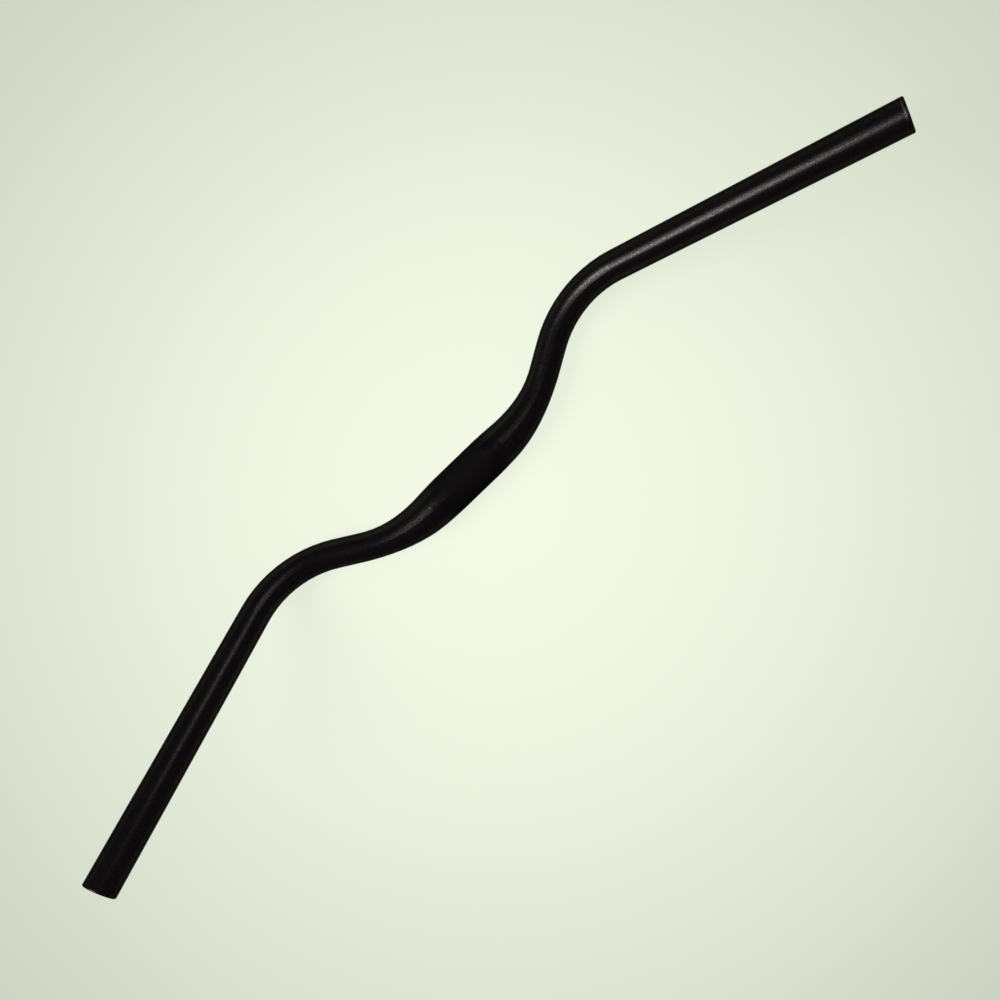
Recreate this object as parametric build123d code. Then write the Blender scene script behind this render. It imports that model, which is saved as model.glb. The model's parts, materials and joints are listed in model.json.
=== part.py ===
from build123d import *
from math import acos, cos, degrees, pi, radians, sin
import os

# Moustache handlebar for a bicycle: one aluminium tube, swelled in the middle
# for the stem, bowed forward on each side of it and then turned back into two
# long straight grips. Sizes are in mm and degrees.
#
# The origin is the centre of the stem clamp, and X is the clamp's axis. The
# bar lies as it comes to rest on a table, on the clamp and on the two forward
# bends, with +Y forward and the grips rising backwards at the sides.

# diameters
clamp_d = 31.8
tube_d = 22.2

# wall, thicker where the stem grips
clamp_wall = 2.6
tube_wall = 2.2

# lengths along the centreline of one side, from the middle outwards
clamp_half = 20.0
taper_len = 72.0
straight_half = 35.0
link_len = 20.0
grip_len = 194.0

# the first bend, from the clamp's axis forward, in the plane of the bow
bow_angle = 31.0
bow_radius = 115.0

# the second bend, up to the grip: how far the grip lifts out of the plane of
# the bow, and how far it turns back past the clamp's axis
lift_angle = 33.0
back_angle = 17.0
grip_bend_radius = 74.0

# the broken edges of the open ends
rim_round = 1.0
mouth_chamfer = 0.4

# the distance between the circles that the swelled part is drawn through
circle_gap = 6.0


def bend(start, before, after, radius):
    """One bend of the centreline: it starts along one way and turns to another."""
    turn = acos(before.dot(after))
    inward = (after - before * before.dot(after)).normalized()
    return {
        "start": start,
        "along": before,
        "inward": inward,
        "radius": radius,
        "length": radius * turn,
    }


def run(start, along, length):
    """One straight run of the centreline."""
    return {"start": start, "along": along, "radius": None, "length": length}


def at(piece, s):
    """The centre and direction of the tube, s mm into a run or a bend."""
    if piece["radius"] is None:
        return piece["start"] + piece["along"] * s, piece["along"]
    a = s / piece["radius"]
    swing = piece["along"] * sin(a) + piece["inward"] * (1 - cos(a))
    heading = piece["along"] * cos(a) + piece["inward"] * sin(a)
    return piece["start"] + swing * piece["radius"], heading


# the centreline of the +X side, in the plane of the bow: X along the clamp,
# Y forward and Z square to the bow
outward = Vector(1, 0, 0)
forward = Vector(cos(radians(bow_angle)), sin(radians(bow_angle)), 0)
grip_way = Vector(
    cos(radians(lift_angle)) * cos(radians(back_angle)),
    -sin(radians(back_angle)),
    sin(radians(lift_angle)) * cos(radians(back_angle)),
)
centreline = [run(Vector(0, 0, 0), outward, straight_half)]
centreline.append(bend(at(centreline[-1], straight_half)[0], outward, forward, bow_radius))
centreline.append(run(at(centreline[-1], centreline[-1]["length"])[0], forward, link_len))
centreline.append(bend(at(centreline[-1], link_len)[0], forward, grip_way, grip_bend_radius))
centreline.append(run(at(centreline[-1], centreline[-1]["length"])[0], grip_way, grip_len))


def station(s):
    """The centre and direction of the tube, s mm from the middle of the bar."""
    for piece in centreline[:-1]:
        if s <= piece["length"]:
            return at(piece, s)
        s -= piece["length"]
    return at(centreline[-1], s)


def eased(s):
    """0 at the clamp, 1 in the plain tube, with a smooth swell between."""
    u = min(max((s - clamp_half) / taper_len, 0.0), 1.0)
    return u * u * (3 - 2 * u)


def outer_radius(s):
    return clamp_d / 2 + (tube_d - clamp_d) / 2 * eased(s)


def inner_radius(s):
    return outer_radius(s) - clamp_wall - (tube_wall - clamp_wall) * eased(s)


def disc(s, radius_at):
    """A disc across the centreline at s, always drawn from the same side."""
    centre, heading = station(s)
    side = Vector(0, 0, 1)
    across = (side - heading * side.dot(heading)).normalized()
    return Plane(origin=centre, x_dir=across, z_dir=heading) * Circle(radius_at(s))


def side_rod(radius_at, past_end):
    """A solid rod of the given radius law, from the clamp to the +X end."""
    plain_from = clamp_half + taper_len
    rod = Part()
    begin = 0.0
    for piece in centreline:
        end = begin + piece["length"]
        # the swelled part of this piece, drawn through circles
        first, last = max(begin, clamp_half), min(end, plain_from)
        if last > first + 1e-6:
            count = max(3, round((last - first) / circle_gap))
            rod += loft([disc(first + (last - first) * i / count, radius_at) for i in range(count + 1)])
        # the plain part of it
        first = max(begin, plain_from)
        if end > first + 1e-6:
            section = disc(first, radius_at)
            if piece["radius"] is None:
                extra = past_end if piece is centreline[-1] else 0.0
                rod += extrude(section, end - first + extra)
            else:
                hub = piece["start"] + piece["inward"] * piece["radius"]
                axle = piece["along"].cross(piece["inward"])
                arc = degrees((end - first) / piece["radius"])
                rod += revolve(section, Axis(hub, axle), arc)
        begin = end
    return rod


def end_circle(shape, diameter):
    """The circular edge of this diameter around the open end of the grip."""
    near = [e for e in shape.edges().filter_by(GeomType.CIRCLE) if (e.arc_center - tip).length < 0.01]
    return min(near, key=lambda e: abs(2 * e.radius - diameter))


# one side: the outer rod less the inner rod, with the rim and the mouth of its
# open end broken
half_length = sum(piece["length"] for piece in centreline)
tip = station(half_length)[0]
side = side_rod(outer_radius, 0.0) - side_rod(inner_radius, 1.0)
side = fillet(end_circle(side, tube_d), rim_round)
side = chamfer(end_circle(side, tube_d - 2 * tube_wall), mouth_chamfer)

# the clamp's plain middle, and the whole tube
clamp_ring = disc(0, outer_radius) - disc(0, inner_radius)
middle = extrude(clamp_ring, clamp_half, both=True)
bar = middle + side + mirror(side, about=Plane.YZ)


def reach_down(s, dip):
    """How far the tube reaches below the clamp's axis with the bow dipped."""
    centre = station(s)[0]
    return centre.Y * sin(dip) - centre.Z * cos(dip) + outer_radius(s)


# the bow dips forward until its bends touch the table that the clamp lies on
ahead = [clamp_half + (half_length - clamp_half) * i / 2000 for i in range(1, 2001)]
low, high = 0.0, pi / 4
for _ in range(40):
    dip = (low + high) / 2
    if max(reach_down(s, dip) for s in ahead) < clamp_d / 2:
        low = dip
    else:
        high = dip
bar = bar.rotate(Axis.X, -degrees(low))

os.makedirs("parts", exist_ok=True)
export_step(bar, "parts/handlebar_tube.step")
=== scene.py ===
import json

import bmesh
import bpy
from mathutils import Matrix, Vector


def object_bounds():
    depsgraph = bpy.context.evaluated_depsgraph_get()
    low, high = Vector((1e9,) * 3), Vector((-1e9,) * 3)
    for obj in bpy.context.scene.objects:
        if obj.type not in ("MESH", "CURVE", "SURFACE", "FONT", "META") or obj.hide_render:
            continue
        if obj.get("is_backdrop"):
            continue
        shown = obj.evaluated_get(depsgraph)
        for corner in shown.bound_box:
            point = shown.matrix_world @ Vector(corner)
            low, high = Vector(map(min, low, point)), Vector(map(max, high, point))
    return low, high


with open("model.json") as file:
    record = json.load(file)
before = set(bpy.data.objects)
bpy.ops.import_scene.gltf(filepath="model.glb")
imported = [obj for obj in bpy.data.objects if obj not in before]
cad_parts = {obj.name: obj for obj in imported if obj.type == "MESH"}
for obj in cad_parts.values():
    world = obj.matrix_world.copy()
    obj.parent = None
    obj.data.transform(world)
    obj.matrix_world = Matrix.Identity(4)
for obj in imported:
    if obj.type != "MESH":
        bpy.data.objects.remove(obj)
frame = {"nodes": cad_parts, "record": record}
cad_low, cad_high = (list(corner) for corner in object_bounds())


# The handlebar: one aluminium tube, swelled by swaging where the stem grips it,
# bent cold into a bow and two grips, bead-blasted all over and then anodised
# black. The band that the stem closes on is blasted coarser, so that it holds.

class Field:
    """A number or colour that varies over a surface: a socket that sums are made of."""

    tree = None

    def __init__(self, socket):
        self.socket = socket

    @classmethod
    def node(cls, kind, settings=None, outlet=0, **inputs):
        """One node of the material in hand, its settings first and then its inputs."""
        made = cls.tree.nodes.new(kind)
        for name, value in (settings or {}).items():
            setattr(made, name, value)
        for name, value in inputs.items():
            key = int(name[1:]) if name[1:].isdigit() else name.replace("_", " ")
            if isinstance(value, Field):
                cls.tree.links.new(value.socket, made.inputs[key])
            else:
                made.inputs[key].default_value = value
        return cls(made.outputs[outlet] if len(made.outputs) else None)

    @classmethod
    def maths(cls, operation, *values):
        """The Math node of this operation on these values."""
        inputs = {f"i{k}": value for k, value in enumerate(values)}
        return cls.node("ShaderNodeMath", {"operation": operation}, **inputs)

    def __add__(self, other):
        return Field.maths("ADD", self, other)

    __radd__ = __add__

    def __sub__(self, other):
        return Field.maths("SUBTRACT", self, other)

    def __rsub__(self, other):
        return Field.maths("SUBTRACT", other, self)

    def __mul__(self, other):
        return Field.maths("MULTIPLY", self, other)

    __rmul__ = __mul__

    def __pow__(self, other):
        return Field.maths("POWER", self, other)

    def __abs__(self):
        return Field.maths("ABSOLUTE", self)

    def between(self, low, high):
        """0 up to low, 1 from high on, smooth between."""
        return Field.node("ShaderNodeMapRange", {"interpolation_type": "SMOOTHSTEP"},
                          i0=self, i1=low, i2=high, i3=0.0, i4=1.0)

    def colour(self, first, second):
        """The first colour where this is 0, the second where it is 1."""
        return Field.node("ShaderNodeMix", {"data_type": "RGBA"}, outlet=2,
                          i0=self, i6=first, i7=second)


def new_material(name):
    """An empty material, which the nodes that follow go into."""
    made = bpy.data.materials.new(name)
    made.use_nodes = True
    made.node_tree.nodes.clear()
    Field.tree = made.node_tree
    return made


def coordinates():
    """Object coordinates, whole and as X, Y and Z."""
    place = Field.node("ShaderNodeTexCoord", outlet="Object")
    return place, [Field.node("ShaderNodeSeparateXYZ", outlet=k, i0=place) for k in range(3)]


def noise(place, scale, detail, roughness=0.5):
    """Even noise in space, with about this many grains to the metre."""
    return Field.node("ShaderNodeTexNoise", {"noise_dimensions": "3D"},
                      Vector=place, Scale=scale, Detail=detail, Roughness=roughness)


bar = frame["nodes"]["handlebar_tube"]
anodised = new_material("black_anodised_satin")
place, (across, ahead, up) = coordinates()

# the grain that the beads leave, and the larger clouds in the dye
fine = noise(place, 2600.0, 2.0, 0.6)
coarse = noise(place, 820.0, 1.0)
clouds = noise(place, 45.0, 3.0)
speckle = coarse.between(0.46, 0.72)
dyed_black = (0.0131, 0.0119, 0.0119, 1.0)
grain_light = (0.0210, 0.0190, 0.0190, 1.0)
blasted = speckle.colour(dyed_black, grain_light)

# the clamp band: how far from the middle its coarse blasting and its darker
# dye start to fade, and where they are gone
coarse_fades, coarse_gone = 0.0130, 0.0270
dark_fades, dark_gone = 0.0160, 0.0340
clamp_black = (0.0053, 0.0046, 0.0047, 1.0)
clamp_band = 1 - abs(across).between(coarse_fades, coarse_gone)
clamp_dye = 1 - abs(across).between(dark_fades, dark_gone)
dye = clamp_dye.colour(blasted, clamp_black)

# the worn arc round the front half of the right open end, partly rim wear and
# partly painted glint, lighter only where the glint falls: how far along the
# grip it is from the end, and how it comes in and fades out there
grip_way = next(Vector(mount["axis"]) for mount in frame["record"]["mounts"]
                if mount["name"] == "grip_right")
half_reach = max(Vector((abs(v.co.x), v.co.y, v.co.z)).dot(grip_way)
                 for v in bar.data.vertices)
past_end = abs(across) * grip_way.x + ahead * grip_way.y + up * grip_way.z - half_reach
arc_starts, arc_full, arc_fades, arc_gone = -0.0028, -0.0022, -0.0019, -0.0013
worn_alloy_and_glint = (0.074, 0.071, 0.068, 1.0)
arc = past_end.between(arc_starts, arc_full) * (1 - past_end.between(arc_fades, arc_gone))
right_side = across.between(0.0, 0.1)
front_half = ahead.between(-0.002, 0.003)
# painted glint and wear: a patchy lighter arc, on the right end's front half only
wear_and_glint = arc * coarse.between(0.34, 0.56) * right_side * front_half
skin = wear_and_glint.colour(dye, worn_alloy_and_glint)

# the satin: smoother on the grains' flat tops, rougher in the clamp band
satin, cloud_rough, grain_smooth, clamp_rough, wear_and_glint_rough = 0.275, 0.04, 0.13, 0.30, 0.25
rough = (satin + cloud_rough * clouds - grain_smooth * speckle + clamp_rough * clamp_band
         + wear_and_glint_rough * wear_and_glint)
clamp_dull = 0.6
grain_depth, fine_share, coarse_share = 0.00008, 0.5, 0.6
glancing_tint = (0.43, 0.43, 0.43, 1.0)
grain = Field.node("ShaderNodeBump", Strength=1.0, Distance=grain_depth,
                   Height=fine_share * fine + coarse_share * coarse)
shell = Field.node("ShaderNodeBsdfPrincipled", Base_Color=skin, Roughness=rough,
                   Metallic=1 - clamp_dull * clamp_band, Specular_IOR_Level=0.0,
                   Specular_Tint=glancing_tint, Normal=grain)
Field.node("ShaderNodeOutputMaterial", Surface=shell)
bar.material_slots[0].material = anodised


# The table: a plain pale sheet that the bar lies on, with a painted pool of light:
# its colour is painted brightest under the middle of the picture and darker all
# round. It glows a little with its own colour, so that the bar's shadow on it
# stays as faint as under a very large soft lamp.

table_radius = 12.0
table_top = cad_low[2]
mesh = bmesh.new()
bmesh.ops.create_circle(mesh, cap_ends=True, segments=128, radius=table_radius,
                        matrix=Matrix.Translation((0.0, 0.0, table_top)))
data = bpy.data.meshes.new("table")
mesh.to_mesh(data)
mesh.free()
table = bpy.data.objects.new("table", data)
bpy.context.scene.collection.objects.link(table)

paper = new_material("pale_paper")
place, (across, ahead, up) = coordinates()
bright_x, bright_y = 0.0012, -0.0331
pale_green = (0.8936, 0.9612, 0.7969, 1.0)
black = (0.0, 0.0, 0.0, 1.0)
reach = ((across - bright_x) ** 2 + (ahead - bright_y) ** 2) ** 0.5
# the painted pool of light is longer towards the rider than ahead of the bar
lean_behind, lean_change, lean_span = 0.755, 0.490, 0.6
lean = lean_behind + lean_change * (ahead - bright_y).between(-lean_span, lean_span)
darkest, patch_radius = 0.383, 0.760
painted_light_tint = (darkest * (reach * lean).between(0.0, patch_radius)).colour(pale_green, black)
seen, mirrored, through = (
    Field.node("ShaderNodeLightPath", outlet=ray)
    for ray in ("Is Camera Ray", "Is Glossy Ray", "Is Transmission Ray"))
glow_share = 0.88
glow = Field.node("ShaderNodeEmission", Color=painted_light_tint, Strength=1.0)
matt = Field.node("ShaderNodeBsdfDiffuse", Color=painted_light_tint)
sheet = Field.node("ShaderNodeMixShader", i0=glow_share * (seen + mirrored + through),
                   i1=matt, i2=glow)
Field.node("ShaderNodeOutputMaterial", Surface=sheet)
data.materials.append(paper)
table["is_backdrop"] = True


# The light: a large soft lamp high up beyond the left grip, a small weak one
# near the right grip, and a dim room with a pale wall low down all round.

def round_lamp(name, place, radius, watts):
    """A round soft lamp that faces the bar, and isn't itself seen."""
    light = bpy.data.lights.new(name, "AREA")
    light.shape = "DISK"
    light.size = 2 * radius
    light.energy = watts
    lamp = bpy.data.objects.new(name, light)
    lamp.location = place
    lamp.rotation_euler = (-Vector(place)).to_track_quat("-Z", "Y").to_euler()
    lamp.visible_camera = False
    bpy.context.scene.collection.objects.link(lamp)


round_lamp("key_lamp", place=(-3.050, 2.210, 3.395), radius=1.168, watts=285.0)
round_lamp("fill_lamp", place=(0.548, 0.490, 0.876), radius=0.27, watts=2.1)

room = bpy.data.worlds.new("room")
room.use_nodes = True
room.node_tree.nodes.clear()
Field.tree = room.node_tree
wall_pale = (0.545, 0.580, 0.490, 1.0)
room_dim = (0.252, 0.227, 0.226, 1.0)
wall_height = 0.17
way = Field.node("ShaderNodeTexCoord", outlet="Generated")
climb = Field.node("ShaderNodeSeparateXYZ", outlet=2, i0=way)
around = climb.between(0.0, wall_height).colour(wall_pale, room_dim)
background = Field.node("ShaderNodeBackground", Color=around, Strength=1.0)
Field.node("ShaderNodeOutputWorld", Surface=background)
bpy.context.scene.world = room


# The camera: where the photograph was taken from, nearly overhead. The three
# ways are those of the picture's right edge, its lower edge and its depth.

camera_place = (0.031809, 0.125799, 0.582474)
picture_right = Vector((0.720456, -0.677544, 0.147913))
picture_down = Vector((-0.692015, -0.688416, 0.217253))
picture_depth = Vector((-0.045373, -0.258879, -0.964843))
lens = bpy.data.cameras.new("camera")
lens.lens = 28.868
lens.sensor_width = 36.0
lens.clip_start = 0.01
camera = bpy.data.objects.new("camera", lens)
turn = Matrix((picture_right, -picture_down, -picture_depth)).transposed().to_4x4()
camera.matrix_world = Matrix.Translation(camera_place) @ turn
bpy.context.scene.collection.objects.link(camera)
bpy.context.scene.camera = camera
bpy.context.scene.view_settings.view_transform = "Standard"
